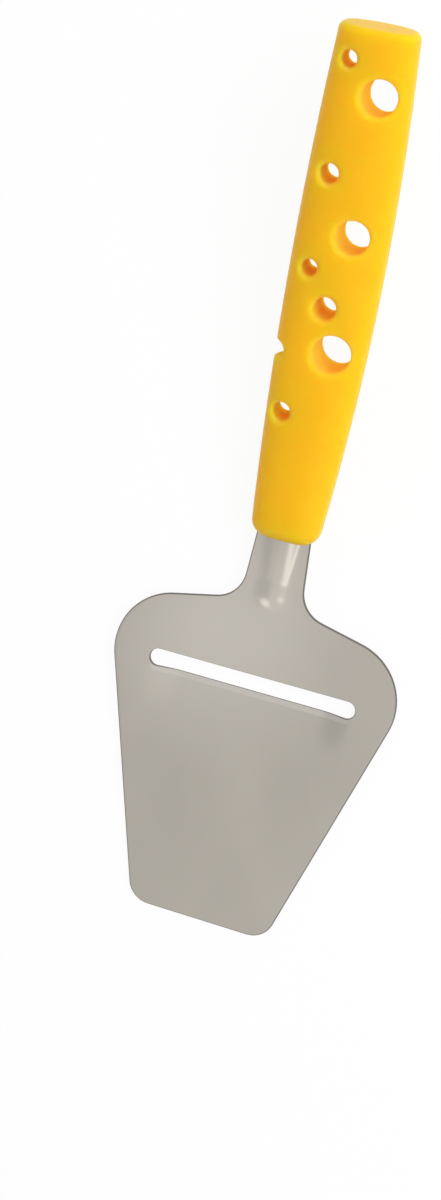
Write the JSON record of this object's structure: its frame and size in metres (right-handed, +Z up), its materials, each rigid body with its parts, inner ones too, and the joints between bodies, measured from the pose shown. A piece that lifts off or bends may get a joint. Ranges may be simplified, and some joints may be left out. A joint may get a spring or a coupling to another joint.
{
  "type": "cheese slicer",
  "caption": "Plane cheese slicer: shield-shaped steel blade with a slot and pressed cutting lip, on a beaded neck moulded into a bowed plastic handle pierced by round holes.",
  "frame": {"origin": "centre of the bounding box, on the table that the slicer lies on", "axes": "+Y along the slicer from the blade's front edge to the handle's free end, +Z up off the table on the side the slice comes out, +X across"},
  "size_m": [0.0708, 0.2134, 0.0381],
  "materials": {
    "steel": "satin",
    "yellow_plastic": "satin moulded"
  },
  "bodies": {
    "root": {"blade": "steel", "handle": "yellow_plastic"}
  },
  "joints": []
}
